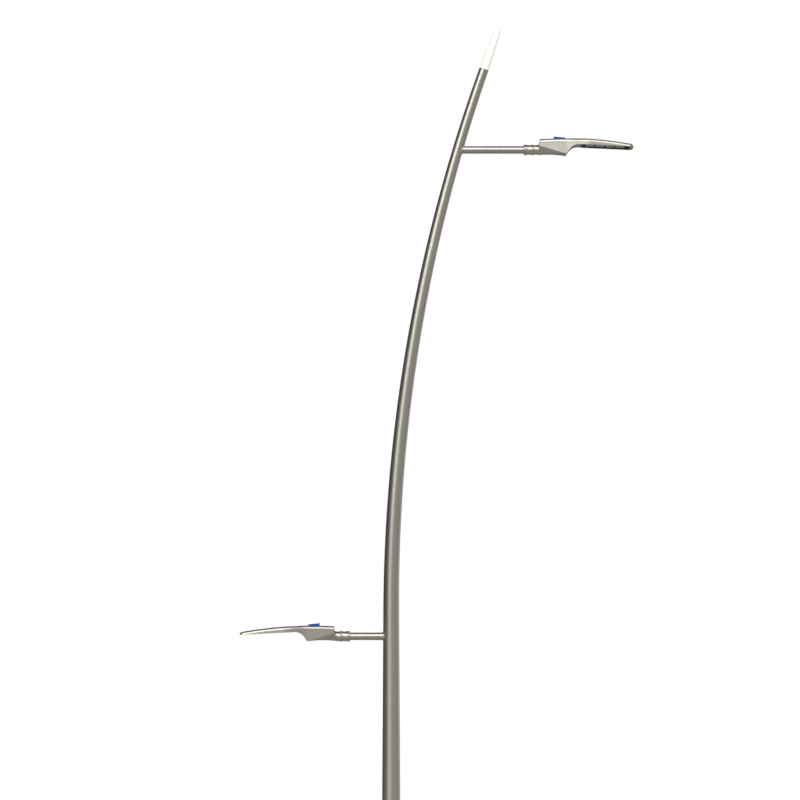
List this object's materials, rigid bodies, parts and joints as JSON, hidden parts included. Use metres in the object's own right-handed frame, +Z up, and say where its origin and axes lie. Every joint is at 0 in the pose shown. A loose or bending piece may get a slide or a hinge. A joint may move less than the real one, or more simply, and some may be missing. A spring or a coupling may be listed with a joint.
{
  "type": "street lamp post",
  "caption": "Curved tapered steel street lamp post with a luminous pointed tip, side arms carrying LED luminaires at two heights, and a hinged service door.",
  "frame": {"origin": "centre of the base plate's underside, where the post stands on its foundation", "axes": "+Z up the post; +X the way the post leans and the upper arm points; +Y towards the back, away from the service door"},
  "size_m": [3.138, 0.4, 9.0085],
  "materials": {
    "post_paint": "satin metallic powder coat on steel",
    "head_paint": "satin metallic powder coat on die-cast aluminium",
    "latch_blue": "satin moulded",
    "opal_plastic": "satin opal",
    "steel": "stainless, brushed",
    "zinc_steel": "zinc plated",
    "aluminium": "mill finish",
    "rubber": "matt",
    "black_plastic": "moulded, matt",
    "grey_plastic": "moulded, matt",
    "circuit_board": "white solder mask",
    "led_chip": "phosphor",
    "lens_plastic": "clear moulded",
    "glass": "clear toughened"
  },
  "bodies": {
    "post": {"base_plate": "post_paint", "base_gussets": "post_paint", "base_section": "post_paint", "middle_shaft": "post_paint", "upper_shaft": "post_paint", "welds": "post_paint", "upper_arm": "post_paint", "lower_arm": "post_paint", "door_hinges": "post_paint", "door_frame": "post_paint", "door_seal": "rubber", "terminal_bracket": "zinc_steel", "terminal_board": "black_plastic", "fuse_carriers": "grey_plastic", "spire_socket": "aluminium", "spire_gasket": "rubber", "spire_diffuser": "opal_plastic", "spire_core": "aluminium", "spire_led_strips": "circuit_board", "spire_screws": "steel"},
    "door": {"service_door": "post_paint"},
    "lock": {"door_lock": "steel"},
    "upper_head": {"upper_spigot_collar": "head_paint", "upper_collar_screws": "steel", "upper_housing": "head_paint", "upper_cover_hinge_pins": "steel", "upper_gear_tray": "zinc_steel", "upper_led_driver": "grey_plastic", "upper_surge_protector": "grey_plastic", "upper_terminal_block": "black_plastic", "upper_led_board": "circuit_board", "upper_leds": "led_chip", "upper_lens_array": "lens_plastic", "upper_optic_bezel": "black_plastic", "upper_cover_glass": "glass", "upper_glass_gasket": "rubber", "upper_optic_frame": "head_paint", "upper_frame_screws": "steel"},
    "upper_cover": {"upper_top_cover": "head_paint", "upper_latch_pin": "steel"},
    "upper_latch": {"upper_latch_lever": "latch_blue"},
    "lower_head": {"lower_spigot_collar": "head_paint", "lower_collar_screws": "steel", "lower_housing": "head_paint", "lower_cover_hinge_pins": "steel", "lower_gear_tray": "zinc_steel", "lower_led_driver": "grey_plastic", "lower_surge_protector": "grey_plastic", "lower_terminal_block": "black_plastic", "lower_led_board": "circuit_board", "lower_leds": "led_chip", "lower_lens_array": "lens_plastic", "lower_optic_bezel": "black_plastic", "lower_cover_glass": "glass", "lower_glass_gasket": "rubber", "lower_optic_frame": "head_paint", "lower_frame_screws": "steel"},
    "lower_cover": {"lower_top_cover": "head_paint", "lower_latch_pin": "steel"},
    "lower_latch": {"lower_latch_lever": "latch_blue"}
  },
  "joints": [
    {"name": "door_hinge", "type": "hinge", "parent": "post", "child": "door", "pos_m": [-0.051, -0.07451, 0.8], "axis": [0, 0, -1], "range_deg": [0, 110]},
    {"name": "lock_turn", "type": "hinge", "parent": "door", "child": "lock", "pos_m": [0.018, -0.08045, 0.8], "axis": [0, -1, 0], "range_deg": [0, 90]},
    {"name": "upper_levelling", "type": "hinge", "parent": "post", "child": "upper_head", "pos_m": [1.191, 0, 7.988], "axis": [1, 0, 0], "range_deg": [-10, 10]},
    {"name": "upper_cover_hinge", "type": "hinge", "parent": "upper_head", "child": "upper_cover", "pos_m": [1.448, 0, 8.072], "axis": [0, 1, 0], "range_deg": [0, 80]},
    {"name": "upper_latch_pivot", "type": "hinge", "parent": "upper_cover", "child": "upper_latch", "pos_m": [1.388, 0, 8.0785], "axis": [0, 1, 0], "range_deg": [0, 70]},
    {"name": "lower_levelling", "type": "hinge", "parent": "post", "child": "lower_head", "pos_m": [-0.459, 0, 4.1], "axis": [-1, 0, 0], "range_deg": [-10, 10]},
    {"name": "lower_cover_hinge", "type": "hinge", "parent": "lower_head", "child": "lower_cover", "pos_m": [-0.716, 0, 4.184], "axis": [0, -1, 0], "range_deg": [0, 80]},
    {"name": "lower_latch_pivot", "type": "hinge", "parent": "lower_cover", "child": "lower_latch", "pos_m": [-0.656, 0, 4.1905], "axis": [0, -1, 0], "range_deg": [0, 70]}
  ]
}
